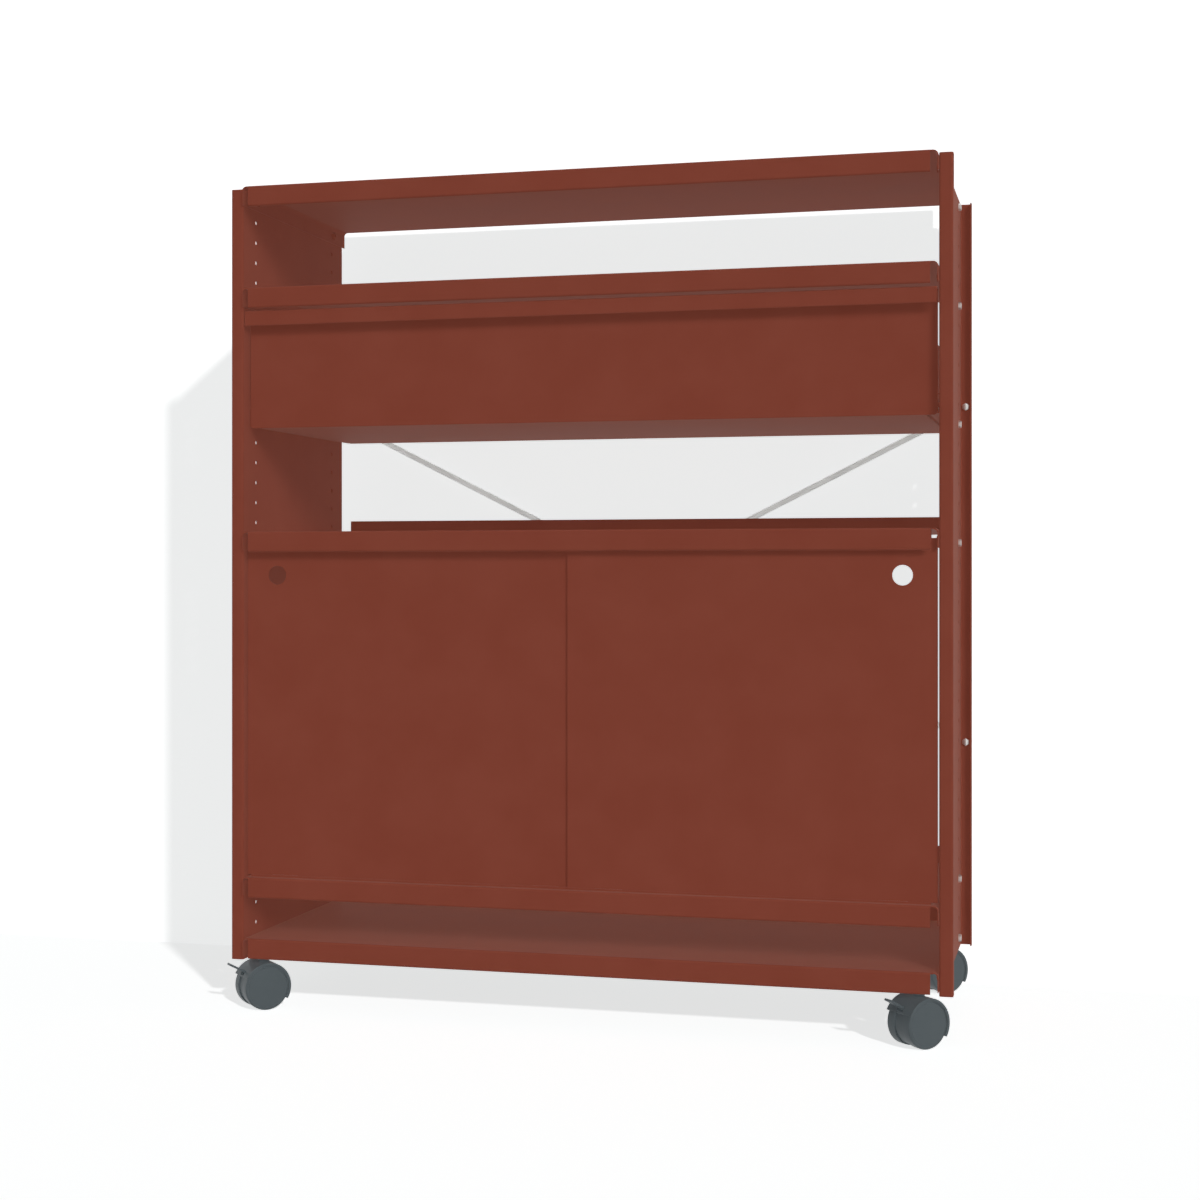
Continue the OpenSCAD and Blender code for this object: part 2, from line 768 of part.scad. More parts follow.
// Brake lever with stub pins that turn in the housing
module brake_lever() {
    color(castor_grey) {
        across(lever_w) translate(lever_pivot) {
            circle(lever_hub_d / 2);
            rotate(lever_rise) translate([0, -lever_t / 2]) square([lever_neck + 1, lever_t]);
        }
        across(lever_pad_w) translate(lever_pivot) rotate(lever_rise)
            translate([lever_neck, -lever_t / 2]) square([lever_reach - lever_neck, lever_t]);
        across(housing_w - 1) translate(lever_pivot) circle(lever_pin_d / 2);
    }
}

module castor_housing_fl() { at_corner(-1, -1) castor_housing(true); }
module castor_housing_fr() { at_corner(1, -1) castor_housing(true); }
module castor_housing_bl() { at_corner(-1, 1) castor_housing(false); }
module castor_housing_br() { at_corner(1, 1) castor_housing(false); }
module castor_axle_fl() { at_corner(-1, -1) castor_axle(); }
module castor_axle_fr() { at_corner(1, -1) castor_axle(); }
module castor_axle_bl() { at_corner(-1, 1) castor_axle(); }
module castor_axle_br() { at_corner(1, 1) castor_axle(); }
module castor_wheel_fl_a() { at_corner(-1, -1) castor_wheel(1); }
module castor_wheel_fl_b() { at_corner(-1, -1) castor_wheel(-1); }
module castor_wheel_fr_a() { at_corner(1, -1) castor_wheel(1); }
module castor_wheel_fr_b() { at_corner(1, -1) castor_wheel(-1); }
module castor_wheel_bl_a() { at_corner(-1, 1) castor_wheel(1); }
module castor_wheel_bl_b() { at_corner(-1, 1) castor_wheel(-1); }
module castor_wheel_br_a() { at_corner(1, 1) castor_wheel(1); }
module castor_wheel_br_b() { at_corner(1, 1) castor_wheel(-1); }
module brake_lever_fl() { at_corner(-1, -1) brake_lever(); }
module brake_lever_fr() { at_corner(1, -1) brake_lever(); }

side_panel_left();
side_panel_right();
top_shelf();
drawer_shelf();
cabinet_top();
cabinet_floor();
bottom_shelf();
shelf_bolts();
shelf_nuts();
brace_rod_front();
brace_rod_back();
brace_bolts();
brace_nuts();
brace_spacers();
door_track_top();
door_track_bottom();
door_left();
door_right();
door_glides_left();
door_glides_right();
drawer_front();
drawer_box();
drawer_nuts();
runner_left();
runner_right();
runner_bolts();
runner_nuts();
drawer_rail_left();
drawer_rail_right();
roller_front_left();
roller_front_right();
roller_back_left();
roller_back_right();
castor_brackets();
castor_stems();
castor_housing_fl();
castor_axle_fl();
castor_wheel_fl_a();
castor_wheel_fl_b();
castor_housing_fr();
castor_axle_fr();
castor_wheel_fr_a();
castor_wheel_fr_b();
castor_housing_bl();
castor_axle_bl();
castor_wheel_bl_a();
castor_wheel_bl_b();
castor_housing_br();
castor_axle_br();
castor_wheel_br_a();
castor_wheel_br_b();
brake_lever_fl();
brake_lever_fr();
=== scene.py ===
import math

import bmesh
import bpy
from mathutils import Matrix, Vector


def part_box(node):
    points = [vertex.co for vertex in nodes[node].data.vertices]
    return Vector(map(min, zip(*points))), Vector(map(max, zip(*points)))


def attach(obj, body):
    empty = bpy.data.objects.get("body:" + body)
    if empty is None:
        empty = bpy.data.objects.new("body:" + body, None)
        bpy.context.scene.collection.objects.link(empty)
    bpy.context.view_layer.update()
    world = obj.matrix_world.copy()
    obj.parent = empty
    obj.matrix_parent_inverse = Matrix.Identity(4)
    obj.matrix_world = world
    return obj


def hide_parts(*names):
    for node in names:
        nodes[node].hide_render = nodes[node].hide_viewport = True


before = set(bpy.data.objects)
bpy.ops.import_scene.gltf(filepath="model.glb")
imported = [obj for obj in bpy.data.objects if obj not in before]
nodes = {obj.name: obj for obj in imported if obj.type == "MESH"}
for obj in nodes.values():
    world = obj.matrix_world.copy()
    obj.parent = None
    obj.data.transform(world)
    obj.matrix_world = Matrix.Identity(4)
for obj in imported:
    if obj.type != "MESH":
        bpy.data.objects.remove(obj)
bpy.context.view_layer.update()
scene = bpy.context.scene


# Side panels: 2 mm sheet steel, punched with a column of holes near the front and the back,
# folded outwards into a C along both edges, then powder coated. The coat is about 0.08 mm
# thick, so every cut edge comes out slightly rounded and no joint shows bare metal.
def linear(code):
    parts = [int(code[i : i + 2], 16) / 255 for i in (1, 3, 5)]
    return [p / 12.92 if p <= 0.04045 else ((p + 0.055) / 1.055) ** 2.4 for p in parts] + [1.0]


def add(tree, kind, inputs=(), links=(), **settings):
    made = tree.nodes.new(kind)
    for name, value in settings.items():
        setattr(made, name, value)
    for socket, value in dict(inputs).items():
        made.inputs[socket].default_value = value
    for socket, source in dict(links).items():
        tree.links.new(source, made.inputs[socket])
    return made


def patched(name, dark, light, patch, rough, all_over, ramp=(0.0, 1.0), detail=3.0, broken=0.5):
    """Material whose colour, and roughness if rough is a pair, drift in patches of one size.

    all_over holds the shader's values that are the same over the whole surface."""
    material = bpy.data.materials.new(name)
    material.use_nodes = True
    tree = material.node_tree
    shader = tree.nodes["Principled BSDF"]
    for socket, value in all_over.items():
        shader.inputs[socket].default_value = value
    place = add(tree, "ShaderNodeTexCoord")
    drift = add(
        tree,
        "ShaderNodeTexNoise",
        {"Scale": 1 / patch, "Detail": detail, "Roughness": broken},
        {"Vector": place.outputs["Object"]},
    )
    tone = add(tree, "ShaderNodeValToRGB", links={"Fac": drift.outputs["Fac"]})
    for stop, position, code in zip(tone.color_ramp.elements, ramp, (dark, light)):
        stop.position = position
        stop.color = linear(code)
    tree.links.new(tone.outputs["Color"], shader.inputs["Base Color"])
    if rough:
        gloss = add(
            tree,
            "ShaderNodeMapRange",
            {"To Min": rough[0], "To Max": rough[1]},
            {"Value": drift.outputs["Fac"]},
        )
        tree.links.new(gloss.outputs["Result"], shader.inputs["Roughness"])
    return material


def relieve(material, grain, strength, depth):
    """Adds a finish's fine relief: grain is its size across and depth its height."""
    tree = material.node_tree
    place = add(tree, "ShaderNodeTexCoord")
    relief = add(
        tree,
        "ShaderNodeTexNoise",
        {"Scale": 1 / grain, "Detail": 2.0},
        {"Vector": place.outputs["Object"]},
    )
    bump = add(
        tree,
        "ShaderNodeBump",
        {"Strength": strength, "Distance": depth},
        {"Height": relief.outputs["Fac"]},
    )
    tree.links.new(bump.outputs["Normal"], tree.nodes["Principled BSDF"].inputs["Normal"])


# Polyester powder coat, baked on steel: an even red brown, nearly flat to the eye, that only
# shines at a grazing angle. The peel of the melted powder is about 1.5 mm across, and the
# film is a trace darker and smoother where it lies thicker, in patches of about 90 mm.
coat_peel = 0.0015
coat_peel_depth = 0.00004
powder = patched(
    "polyester_powder_coat",
    "#7B3D2F",
    "#7E4032",
    patch=0.09,
    rough=(0.60, 0.70),
    ramp=(0.35, 0.65),
    broken=0.55,
    all_over={
        "IOR": 1.5,
        "Specular IOR Level": 0.03,
        "Sheen Weight": 0.065,
        "Sheen Roughness": 0.4,
        "Sheen Tint": linear("#FFF6E8"),
    },
)
relieve(powder, coat_peel, 0.25, coat_peel_depth)


def eased(name, node, radius, material, body):
    """Copy of a node's solid, its loose triangles merged and its sharp edges rounded."""
    merge_within = 2e-6
    flat_within = math.radians(0.4)
    folded_beyond = math.radians(35)
    smooth_below = math.radians(30)
    mesh = nodes[node].data.copy()
    work = bmesh.new()
    work.from_mesh(mesh)
    bmesh.ops.remove_doubles(work, verts=work.verts, dist=merge_within)
    bmesh.ops.dissolve_limit(work, angle_limit=flat_within, verts=work.verts, edges=work.edges)
    sharp = [e for e in work.edges if e.is_manifold and e.calc_face_angle(0) > folded_beyond]
    bmesh.ops.bevel(
        work,
        geom=sharp,
        offset=radius,
        offset_type="OFFSET",
        segments=2,
        profile=0.5,
        affect="EDGES",
        clamp_overlap=False,
    )
    bmesh.ops.triangulate(work, faces=[f for f in work.faces if len(f.verts) > 4])
    work.to_mesh(mesh)
    work.free()
    piece = bpy.data.objects.new(name, mesh)
    scene.collection.objects.link(piece)
    mesh.materials.clear()
    mesh.materials.append(material)
    mesh.shade_smooth()
    mesh.set_sharp_from_angle(angle=smooth_below)
    # Normals weighted by area keep the flats flat in the light beside their rounded edges
    even = piece.modifiers.new("flats_shade_flat", "WEIGHTED_NORMAL")
    even.keep_sharp = True
    ready = piece.evaluated_get(bpy.context.evaluated_depsgraph_get())
    piece.data = bpy.data.meshes.new_from_object(ready)
    piece.modifiers.clear()
    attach(piece, body)
    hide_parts(node)
    return piece


panel_edge = 0.0003
for side in ("left", "right"):
    node = "side_panel_" + side
    eased("panel_" + side, node, panel_edge, powder, "cabinet")


# Shelves: five alike, each folded from one blank of 1.5 mm sheet with a deep front lip, a flange
# at each end for the bolts and an upstand along the back, and powder coated like the panels.
sheet_edge = 0.00025
for shelf in ("top_shelf", "drawer_shelf", "cabinet_top", "cabinet_floor", "bottom_shelf"):
    eased(shelf + "_sheet", shelf, sheet_edge, powder, "cabinet")


# Shelf bolts and nuts: four M6 hexagon bolts a shelf, cold formed from wire and zinc plated, go
# in from outside. They screw into hexagon weld nuts on the end flanges, which were welded on
# before the shelf was coated and so carry its colour.
# Zinc plate: a bright but slightly cloudy silver, its cloud about 6 mm across
zinc = patched(
    "bright_zinc_plate",
    "#DCDEDC",
    "#F0F1EE",
    patch=0.006,
    rough=(0.26, 0.42),
    ramp=(0.3, 0.7),
    detail=4.0,
    broken=0.6,
    all_over={"Metallic": 1.0},
)


def closed_mesh(name, rings, around, ring_shaped=False):
    """Skin of rings of equal length: both ends capped, or the last ring joined to the first."""
    faces = []
    count = len(rings)
    for i in range(count if ring_shaped else count - 1):
        for j in range(around):
            k = (j + 1) % around
            n = (i + 1) % count
            faces.append((i * around + j, i * around + k, n * around + k, n * around + j))
    if not ring_shaped:
        faces.append(tuple(range(around)))
        faces.append(tuple((count - 1) * around + j for j in range(around)))
    mesh = bpy.data.meshes.new(name)
    mesh.from_pydata([p for ring in rings for p in ring], [], faces)
    work = bmesh.new()
    work.from_mesh(mesh)
    bmesh.ops.remove_doubles(work, verts=work.verts, dist=1e-6)
    bmesh.ops.recalc_face_normals(work, faces=work.faces)
    work.to_mesh(mesh)
    work.free()
    mesh.shade_smooth()
    mesh.set_sharp_from_angle(angle=math.radians(35))
    return mesh


fastener_turns = [2 * math.pi * j / 36 for j in range(36)]
end_chamfer = 0.0005
flat_share = 0.94


def fastener_ring(radius, height):
    """Ring about the fastener's axis; a radius or height is one number or a list by turns."""
    count = len(fastener_turns)
    radii = radius if isinstance(radius, list) else [radius] * count
    heights = height if isinstance(height, list) else [height] * count
    return [
        (r * math.cos(a), r * math.sin(a), z) for r, z, a in zip(radii, heights, fastener_turns)
    ]


def hexagon_edge(flats):
    """Radius of a hexagon at each turn, and how deep a 30 degree cone cuts its corners."""
    edge = []
    for a in fastener_turns:
        off = (math.degrees(a) + 30) % 60 - 30
        edge.append(flats / 2 / math.cos(math.radians(off)))
    drop = [(r - flats / 2 * flat_share) * math.tan(math.radians(30)) for r in edge]
    return edge, drop


def hex_bolt_form(name, flats, head, shank, length):
    """Hexagon bolt, its head from z = 0 up and its shank down."""
    edge, drop = hexagon_edge(flats)
    rings = [
        fastener_ring(shank / 2 - end_chamfer, -length),
        fastener_ring(shank / 2, -length + end_chamfer),
        fastener_ring(shank / 2, 0),
        fastener_ring(edge, 0),
        fastener_ring(edge, [head - d for d in drop]),
        fastener_ring(flats / 2 * flat_share, head),
    ]
    return bpy.data.objects.new(name, closed_mesh(name, rings, len(fastener_turns)))


def hex_nut_form(name, flats, height, bore):
    """Hexagon nut from z = 0 up, chamfered on both faces, with its bore."""
    edge, drop = hexagon_edge(flats)
    rings = [
        fastener_ring(bore / 2, end_chamfer),
        fastener_ring(bore / 2 + end_chamfer, 0),
        fastener_ring(flats / 2 * flat_share, 0),
        fastener_ring(edge, drop),
        fastener_ring(edge, [height - d for d in drop]),
        fastener_ring(flats / 2 * flat_share, height),
        fastener_ring(bore / 2 + end_chamfer, height),
        fastener_ring(bore / 2, height - end_chamfer),
    ]
    return bpy.data.objects.new(name, closed_mesh(name, rings, len(fastener_turns), True))


# Geometry Nodes tree that sets one fastener on each point, along the point's facing
fasteners = bpy.data.node_groups.new("fasteners_on_points", "GeometryNodeTree")
for name, kind in (
    ("Geometry", "NodeSocketGeometry"),
    ("Fastener", "NodeSocketObject"),
    ("Spin", "NodeSocketFloat"),
    ("Finish", "NodeSocketMaterial"),
):
    fasteners.interface.new_socket(name, in_out="INPUT", socket_type=kind)
fasteners.interface.new_socket("Geometry", in_out="OUTPUT", socket_type="NodeSocketGeometry")
given = add(fasteners, "NodeGroupInput")
form = add(fasteners, "GeometryNodeObjectInfo", links={"Object": given.outputs["Fastener"]})
facing = add(
    fasteners, "GeometryNodeInputNamedAttribute", {"Name": "facing"}, data_type="FLOAT_VECTOR"
)
aim = add(
    fasteners,
    "FunctionNodeAlignRotationToVector",
    links={"Vector": facing.outputs["Attribute"]},
    axis="Z",
)
spin = add(
    fasteners,
    "FunctionNodeAxisAngleToRotation",
    {"Axis": (0, 0, 1)},
    {"Angle": given.outputs["Spin"]},
)
turn = add(
    fasteners,
    "FunctionNodeRotateRotation",
    links={"Rotation": aim.outputs["Rotation"], "Rotate By": spin.outputs["Rotation"]},
    rotation_space="LOCAL",
)
placed = add(
    fasteners,
    "GeometryNodeInstanceOnPoints",
    links={
        "Points": given.outputs["Geometry"],
        "Instance": form.outputs["Geometry"],
        "Rotation": turn.outputs["Rotation"],
    },
)
real = add(
    fasteners, "GeometryNodeRealizeInstances", links={"Geometry": placed.outputs["Instances"]}
)
done = add(
    fasteners,
    "GeometryNodeSetMaterial",
    links={"Geometry": real.outputs["Geometry"], "Material": given.outputs["Finish"]},
)
add(fasteners, "NodeGroupOutput", links={"Geometry": done.outputs["Geometry"]})


def fasten(name, form, points, body, node, material, spin=0.0):
    """One mesh of like fasteners for a CAD node; points is a list of (place, facing)."""
    seeds = bpy.data.meshes.new(name + "_seeds")
    seeds.from_pydata([p for p, _ in points], [], [])
    facing = seeds.attributes.new("facing", "FLOAT_VECTOR", "POINT")
    for value, (_, way) in zip(facing.data, points):
        value.vector = way
    holder = bpy.data.objects.new(name + "_seeds", seeds)
    scene.collection.objects.link(holder)
    scene.collection.objects.link(form)
    stack = holder.modifiers.new("fasteners", "NODES")
    stack.node_group = fasteners
    sockets = {s.name: s.identifier for s in fasteners.interface.items_tree if s.in_out == "INPUT"}
    stack[sockets["Fastener"]] = form
    stack[sockets["Spin"]] = spin
    stack[sockets["Finish"]] = material
    bpy.context.view_layer.update()
    seen = holder.evaluated_get(bpy.context.evaluated_depsgraph_get())
    mesh = bpy.data.meshes.new_from_object(seen)
    mesh.name = name
    holder.modifiers.remove(stack)
    bpy.data.objects.remove(holder)
    bpy.data.objects.remove(form)
    piece = bpy.data.objects.new(name, mesh)
    scene.collection.objects.link(piece)
    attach(piece, body)
    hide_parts(node)
    return piece


panel_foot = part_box("side_panel_left")[0].z
web_in = 0.509
panel_t = 0.002
web_out = web_in + panel_t
column = 0.1475
first_hole = 0.018
hole_pitch = 0.030
m6_flats = 0.010
m6_head = 0.004
m6_shank = 0.006
m6_nut = 0.005
m6_bore = 0.0061
spanner_turn = math.radians(30)


def hole_height(row):
    return panel_foot + first_hole + hole_pitch * row


# The shank ends inside the weld nut, whose bore so looks dark from within the cabinet
shelf_rows = [hole_height(row) for row in (0, 3, 20, 32, 37)]
shelf_holes = [(s, y, z) for s in (-1, 1) for y in (-column, column) for z in shelf_rows]
fasten(
    "shelf_bolt_set",
    hex_bolt_form("m6_bolt", m6_flats, m6_head, m6_shank, 0.006),
    [((s * web_out, y, z), (s, 0, 0)) for s, y, z in shelf_holes],
    "cabinet",
    "shelf_bolts",
    zinc,
    spanner_turn,
)
shelf_fit = 0.0002
shelf_t = 0.0015
flange_in = web_in - shelf_fit - shelf_t
fasten(
    "shelf_nut_set",
    hex_nut_form("m6_weld_nut", m6_flats, m6_nut, m6_bore),
    [((s * flange_in, y, z), (-s, 0, 0)) for s, y, z in shelf_holes],
    "cabinet",
    "shelf_nuts",
    powder,
    spanner_turn,
)


# Cross brace: two 9 mm round bars, pressed flat at both ends, coated a light satin grey and
# bolted to the back flanges. Steel sleeves on the bolts hold them clear of the shelves, and
# the back bar stands one bar further out, so the two pass where they cross.
light_grey = patched(
    "light_grey_powder_coat",
    "#E2E2E0",
    "#EAEAE8",
    patch=0.05,
    rough=(0.36, 0.46),
    ramp=(0.35, 0.65),
    detail=2.0,
    all_over={"IOR": 1.5},
)
relieve(light_grey, coat_peel, 0.2, coat_peel_depth)

bar_r = 0.0045
tongue = 0.003
lug_r = 0.008
lug_length = 0.016
press_run = 0.010
sleeve_length = 0.020
brace_rise = 0.258
brace_x = web_in + 0.0095
brace_mid = panel_foot + 0.570


def pressed_rod(name, node, y, rise):
    """Round bar along the diagonal: its ends are squeezed to a 3 mm tongue towards the panels."""
    half = Vector((brace_x, 0, rise))
    reach = half.length + lug_r
    along = half.normalized()
    up = Vector((-along.z, 0, along.x))
    around = 24
    from_end = (0, 0.001, 0.003, 0.008, 0.015, 0.018, 0.020, 0.022, 0.024, 0.027)
    stations = [reach - d for d in from_end] + [0]
    stations += [-s for s in reversed(stations[:-1])]
    middle = Vector((0, y, brace_mid))
    rings = []
    for s in stations:
        near = reach - abs(s)
        flat = 1 - min(max((near - lug_length) / press_run, 0), 1)
        flat = flat * flat * (3 - 2 * flat)
        tip = math.sqrt(max(1 - (max(lug_r - near, 0) / lug_r) ** 2, 0.02))
        ring = []
        for j in range(around):
            a = 2 * math.pi * j / around
            wide = math.cos(a) * (bar_r + (lug_r - bar_r) * flat) * tip
            c = math.sin(a)
            squeezed = -bar_r + tongue / 2 * (1 + math.copysign(min(abs(c) * 3, 1), c))
            deep = c * bar_r * (1 - flat) + squeezed * flat
            ring.append(tuple(middle + along * s + up * wide + Vector((0, deep, 0))))
        rings.append(ring)
    piece = bpy.data.objects.new(name, closed_mesh(name, rings, around))
    scene.collection.objects.link(piece)
    piece.data.materials.append(light_grey)
    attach(piece, "cabinet")
    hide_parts(node)
    return piece


def sleeve_form(name, outer, bore, length):
    """Turned sleeve from z = 0 up, its outer edges broken."""
    broken = 0.0004
    profile = [(bore / 2, 0), (outer / 2 - broken, 0), (outer / 2, broken)]
    profile += [(outer / 2, length - broken), (outer / 2 - broken, length), (bore / 2, length)]
    rings = [fastener_ring(r, z) for r, z in profile]
    return bpy.data.objects.new(name, closed_mesh(name, rings, len(fastener_turns), True))


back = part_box("side_panel_left")[1].y
front_rod_y = back + sleeve_length + bar_r
rod_step = 2 * bar_r + 0.0005
pressed_rod("brace_bar_front", "brace_rod_front", front_rod_y, brace_rise)
pressed_rod("brace_bar_back", "brace_rod_back", front_rod_y + rod_step, -brace_rise)
for bar, way, further in (("front", 1, 0.0), ("back", -1, rod_step)):
    ends = [(m * brace_x, brace_mid + m * way * brace_rise) for m in (-1, 1)]
    stand_off = sleeve_length + further
    fasten(
        "brace_bolt_pair_" + bar,
        hex_bolt_form("m6_brace_bolt", m6_flats, m6_head, m6_shank, 0.012 + stand_off),
        [((x, back - panel_t, z), (0, -1, 0)) for x, z in ends],
        "cabinet",
        "brace_bolts",
        zinc,
    )
    fasten(
        "brace_nut_pair_" + bar,
        hex_nut_form("m6_brace_nut", m6_flats, m6_nut, m6_bore),
        [((x, back + stand_off + tongue, z), (0, 1, 0)) for x, z in ends],
        "cabinet",
        "brace_nuts",
        zinc,
    )
    fasten(
        "brace_sleeve_pair_" + bar,
        sleeve_form("brace_sleeve", 0.012, 0.0064, stand_off),
        [((x, back, z), (0, 1, 0)) for x, z in ends],
        "cabinet",
        "brace_spacers",
        zinc,
    )


# Sliding doors: two flat 2 mm sheets with a punched finger hole each, coated like the shelves.
# They run in rolled twin groove tracks, spot welded to the shelves and coated with them, on
# slotted nylon glides clipped over the sheet's edges.
for door, body in (("door_left", "left_door"), ("door_right", "right_door")):
    eased(door + "_sheet", door, sheet_edge, powder, body)
for track in ("door_track_top", "door_track_bottom"):
    eased(track + "_profile", track, 0.00015, powder, "cabinet")

# Nylon, injection moulded: a little waxy, and clouded by its flow over about 10 mm. The glides
# are dyed to the coat, so that they don't show under the doors; the rollers are left undyed.
waxy = {"IOR": 1.53, "Roughness": 0.4}
dyed_nylon = patched("red_brown_nylon", "#70392C", "#773F31", 0.01, None, waxy)
undyed_nylon = patched("natural_nylon", "#D9D6CC", "#E6E4DC", 0.01, None, waxy)
for glide, body in (("door_glides_left", "left_door"), ("door_glides_right", "right_door")):
    eased(glide + "_clips", glide, 0.00015, dyed_nylon, body)


# Drawer: a front folded forward into a grip lip and studded to a spot welded tray, both coated
# like the shelves. Its rails carry one nylon roller each, and run on another in the channels
# that two bolts hold to each panel.
for sheet in ("drawer_front", "drawer_box"):
    eased(sheet + "_sheet", sheet, sheet_edge, powder, "drawer")


def finish(node, material):
    """Gives its material to a CAD node that is shown as it is."""
    nodes[node].data.materials.clear()
    nodes[node].data.materials.append(material)


for side in ("left", "right"):
    for part in ("runner_", "drawer_rail_"):
        finish(part + side, powder)
    for part in ("roller_front_", "roller_back_"):
        eased(part + side + "_wheel", part + side, 0.0006, undyed_nylon, part + side)

runner_holes = [(s, y, hole_height(26)) for s in (-1, 1) for y in (-column, column)]
fasten(
    "runner_bolt_set",
    hex_bolt_form("m6_runner_bolt", m6_flats, m6_head, m6_shank, 0.0068),
    [((s * web_out, y, z), (s, 0, 0)) for s, y, z in runner_holes],
    "cabinet",
    "runner_bolts",
    zinc,
    spanner_turn,
)
runner_t = 0.0015
fasten(
    "runner_nut_set",
    hex_nut_form("m6_thin_nut", m6_flats, 0.003, m6_bore),
    [((s * (web_in - runner_t), y, z), (-s, 0, 0)) for s, y, z in runner_holes],
    "cabinet",
    "runner_nuts",
    zinc,
)
drawer_front_t = 0.0015
drawer_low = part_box("drawer_box")[0].z
drawer_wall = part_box("drawer_box")[0].y + drawer_front_t
stud_x = 0.3912
stud_rows = [drawer_low + 0.030, drawer_low + 0.100]
studs = [(x, z) for x in (-stud_x, 0, stud_x) for z in stud_rows]
fasten(
    "drawer_nut_set",
    hex_nut_form("m5_nut", 0.008, 0.004, 0.0051),
    [((x, drawer_wall, z), (0, 1, 0)) for x, z in studs],
    "drawer",
    "drawer_nuts",
    zinc,
)


# Castors: four twin wheel castors, each moulded in dark grey nylon: a housing with a hood over
# both wheels, two covered wheels on a steel axle and, at the front, a brake lever. They screw
# into plates welded under the bottom shelf and coated with it.
eased("castor_plates", "castor_brackets", 0.0005, powder, "cabinet")
corners = {"fl": (-1, -1), "fr": (1, -1), "bl": (-1, 1), "br": (1, 1)}
finish("castor_stems", zinc)
for key in corners:
    finish("castor_axle_" + key, zinc)

# Nylon, moulded in a spark eroded tool: a flat dark grey, clouded over about 12 mm, with a
# grain of about 0.8 mm
moulded = patched(
    "moulded_grey_nylon",
    "#4B5255",
    "#4F5659",
    patch=0.012,
    rough=(0.34, 0.40),
    all_over={"IOR": 1.53, "Specular IOR Level": 0.15},
)
relieve(moulded, 0.0008, 0.3, 0.00003)

castor_x = 0.481
castor_y = 0.183
castor_turn = math.radians(225)
axle_way = Vector((-math.sin(castor_turn), math.cos(castor_turn), 0))
trail = 0.003
wheel_r = 0.0335
wheel_gap = 0.008


def arc(centre, radius, start, end, steps):
    spread = [math.radians(start + (end - start) * i / steps) for i in range(steps + 1)]
    return [(centre[0] + radius * math.cos(a), centre[1] + radius * math.sin(a)) for a in spread]


def castor_wheel(key, ab, way):
    """Moulded wheel with a recessed inner side, a crowned tread and a slightly domed cover."""
    # (radius, distance outwards from the inner side), from the axle's bore round to the cover
    profile = [(0, 0.0142), (0.00305, 0.0142), (0.00305, 0), (0.009, 0), (0.0098, 0.0035)]
    profile += [(0.0268, 0.0035), (0.0276, 0.0004), (0.0326, 0.0004), (0.0333, 0.0011)]
    profile += [(wheel_r, 0.004), (wheel_r, 0.0130)]
    profile += arc((wheel_r - 0.003, 0.0130), 0.003, 8, 84, 7)
    profile += [(0.0302, 0.01605), (0.0300, 0.0157), (0.0294, 0.0157), (0.0291, 0.01612)]
    profile += [(r, 0.0175 - 0.0014 * (r / 0.029) ** 2) for r in (0.026, 0.020, 0.012, 0.005)]
    profile += [(0, 0.0175)]
    around = 64
    x, y = corners[key]
    centre = Vector((x * castor_x, y * castor_y, 0))
    centre += Vector((math.cos(castor_turn), math.sin(castor_turn), 0)) * trail
    centre.z = wheel_r
    out = axle_way * way
    across = out.cross(Vector((0, 0, 1)))
    rings = []
    for r, a in profile:
        ring = []
        for j in range(around):
            t = 2 * math.pi * j / around
            spot = centre + out * (wheel_gap + a) + across * (r * math.cos(t))
            ring.append(tuple(spot + Vector((0, 0, r * math.sin(t)))))
        rings.append(ring)
    name = "wheel_%s_%s_disc" % (key, ab)
    piece = bpy.data.objects.new(name, closed_mesh(name, rings, around))
    scene.collection.objects.link(piece)
    piece.data.materials.append(moulded)
    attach(piece, "wheel_%s_%s" % (key, ab))
    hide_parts("castor_wheel_%s_%s" % (key, ab))
    return piece


for key in corners:
    housing = "castor_housing_" + key
    eased("castor_hood_" + key, housing, 0.0005, moulded, "castor_" + key)
    if key in ("fl", "fr"):
        lever = "brake_lever_" + key
        eased("brake_pedal_" + key, lever, 0.0006, moulded, "brake_" + key)
    castor_wheel(key, "a", 1)
    castor_wheel(key, "b", -1)


# Studio: a pale floor and a pale backdrop close behind the cabinet. To the camera, and in gloss,
# both are white where the key light reaches them and carry the cabinet's soft grey shadow. The
# backdrop is clear from behind, so that it hides nothing in other views.
def seen_in_picture(tree):
    """1 where the camera or a reflection sees the surface, 0 where it only gives light back."""
    path = add(tree, "ShaderNodeLightPath")
    gloss = add(tree, "ShaderNodeMath", operation="MAXIMUM")
    tree.links.new(path.outputs["Is Glossy Ray"], gloss.inputs[0])
    tree.links.new(path.outputs["Is Transmission Ray"], gloss.inputs[1])
    shown = add(tree, "ShaderNodeMath", operation="MAXIMUM")
    tree.links.new(path.outputs["Is Camera Ray"], shown.inputs[0])
    tree.links.new(gloss.outputs[0], shown.inputs[1])
    return shown.outputs[0]


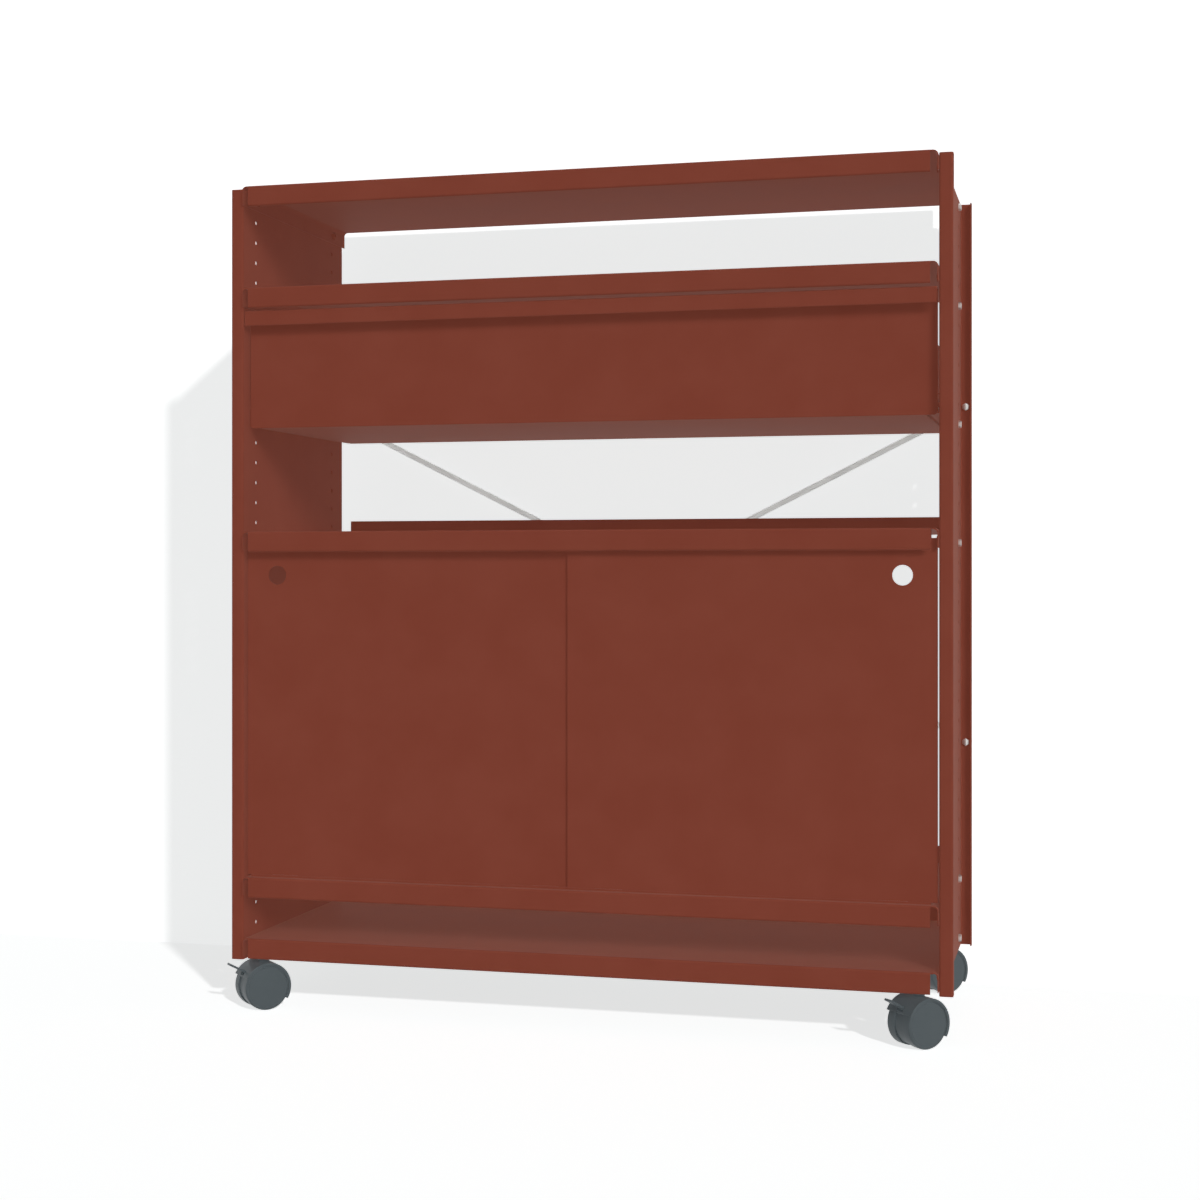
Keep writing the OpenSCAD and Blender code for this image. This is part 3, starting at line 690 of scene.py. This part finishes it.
def pale(name, glow, grey, one_sided):
    """Matt paint of one grey that also glows: grey sets how deep a shadow is, glow the white."""
    material = bpy.data.materials.new(name)
    material.use_nodes = True
    tree = material.node_tree
    tree.nodes.clear()
    given_back = add(tree, "ShaderNodeBsdfDiffuse", {"Color": (0.25, 0.25, 0.25, 1)})
    paint = add(tree, "ShaderNodeBsdfDiffuse", {"Color": (grey, grey, grey, 1)})
    light = add(tree, "ShaderNodeEmission", {"Color": (0.985, 1, 1, 1), "Strength": glow})
    both = add(tree, "ShaderNodeAddShader")
    tree.links.new(paint.outputs[0], both.inputs[0])
    tree.links.new(light.outputs[0], both.inputs[1])
    last = add(tree, "ShaderNodeMixShader", links={"Fac": seen_in_picture(tree)})
    tree.links.new(given_back.outputs[0], last.inputs[1])
    tree.links.new(both.outputs[0], last.inputs[2])
    if one_sided:
        front = last
        geometry = add(tree, "ShaderNodeNewGeometry")
        clear = add(tree, "ShaderNodeBsdfTransparent")
        last = add(tree, "ShaderNodeMixShader", links={"Fac": geometry.outputs["Backfacing"]})
        tree.links.new(front.outputs[0], last.inputs[1])
        tree.links.new(clear.outputs[0], last.inputs[2])
    add(tree, "ShaderNodeOutputMaterial", links={"Surface": last.outputs[0]})
    return material


def plane(name, corners, material):
    mesh = bpy.data.meshes.new(name)
    mesh.from_pydata(corners, [], [(0, 1, 2, 3)])
    mesh.materials.append(material)
    made = bpy.data.objects.new(name, mesh)
    scene.collection.objects.link(made)
    return made


reach = 12
backdrop_y = 0.245
backdrop_top = 8
floor = plane(
    "studio_floor",
    [(-reach, -reach, 0), (reach, -reach, 0), (reach, reach, 0), (-reach, reach, 0)],
    pale("floor_pale", 0.745, 1.15, False),
)
low = [(-reach, backdrop_y, 0), (reach, backdrop_y, 0)]
high = [(reach, backdrop_y, backdrop_top), (-reach, backdrop_y, backdrop_top)]
wall = plane("studio_backdrop", low + high, pale("backdrop_pale", 0.805, 0.95, True))
wall.visible_diffuse = False
wall.visible_glossy = False
wall.visible_transmission = False
wall.visible_shadow = False

world = bpy.data.worlds.new("studio_world")
scene.world = world
world.use_nodes = True
tree = world.node_tree
tree.nodes.clear()
soft = add(tree, "ShaderNodeBackground", {"Color": (1, 1, 1, 1), "Strength": 0.04})
white = add(tree, "ShaderNodeBackground", {"Color": (1, 1, 1, 1), "Strength": 1.0})
pick = add(tree, "ShaderNodeMixShader", links={"Fac": seen_in_picture(tree)})
tree.links.new(soft.outputs[0], pick.inputs[1])
tree.links.new(white.outputs[0], pick.inputs[2])
add(tree, "ShaderNodeOutputWorld", links={"Surface": pick.outputs[0]})


# Lamps: one key from the front right and above, hard on the floor and the backdrop and wide and
# soft on the cabinet, and four wider fills from all round. The fills cast no shadow, reach only
# what the camera or a reflection meets first, and leave the floor and the backdrop to the key.
def sun(name, energy, width, way, lit):
    """Sun lamp that shines from way, width degrees across, on what lit says."""
    light = bpy.data.lights.new(name, "SUN")
    light.energy = energy
    light.angle = math.radians(width)
    lamp = bpy.data.objects.new(name, light)
    scene.collection.objects.link(lamp)
    lamp.rotation_euler = Vector(way).to_track_quat("Z", "Y").to_euler()
    lamp.light_linking.receiver_collection = lit
    return lamp


studio_only = bpy.data.collections.new("floor_and_backdrop")
cabinet_only = bpy.data.collections.new("all_but_floor_and_backdrop")
for ground in (floor, wall):
    studio_only.objects.link(ground)
    cabinet_only.objects.link(ground)
for entry in cabinet_only.collection_objects:
    entry.light_linking.link_state = "EXCLUDE"

key_way = (0.76, -1.0, 0.61)
key_energy = 1.3
sun("key_hard", key_energy, 2.5, key_way, studio_only)
sun("key_soft", key_energy, 20, key_way, cabinet_only)
fill_ways = ((1, -1, -1), (-1, -1, 1), (1, 1, 1), (-1, 1, -1))
for i, way in enumerate(fill_ways):
    fill = sun("fill_light_%d" % i, 1.48, 100, way, cabinet_only)
    fill.visible_glossy = False
    fill.data.use_shadow = False
    fill.data.cycles.use_multiple_importance_sampling = False
    fill.data.use_nodes = True
    tree = fill.data.node_tree
    path = add(tree, "ShaderNodeLightPath")
    first = add(
        tree,
        "ShaderNodeMath",
        {1: 0.5},
        {0: path.outputs["Diffuse Depth"]},
        operation="LESS_THAN",
    )
    tree.links.new(first.outputs[0], tree.nodes["Emission"].inputs["Strength"])


# Camera: level, at the height of the cabinet's middle, a little to its right. The lens shift
# keeps the uprights upright, as in the photograph, which is 1200 pixels wide.
lens = bpy.data.cameras.new("camera")
lens.sensor_fit = "HORIZONTAL"
lens.sensor_width = 36
lens.lens = 58.53
lens.shift_y = -25.55 / 1200
lens.clip_end = 100
camera = bpy.data.objects.new("camera", lens)
camera.location = (0.7235, -2.859, 0.641)
camera.rotation_euler = (math.radians(90), 0, math.radians(14.46))
scene.collection.objects.link(camera)
scene.camera = camera
scene.view_settings.view_transform = "Standard"
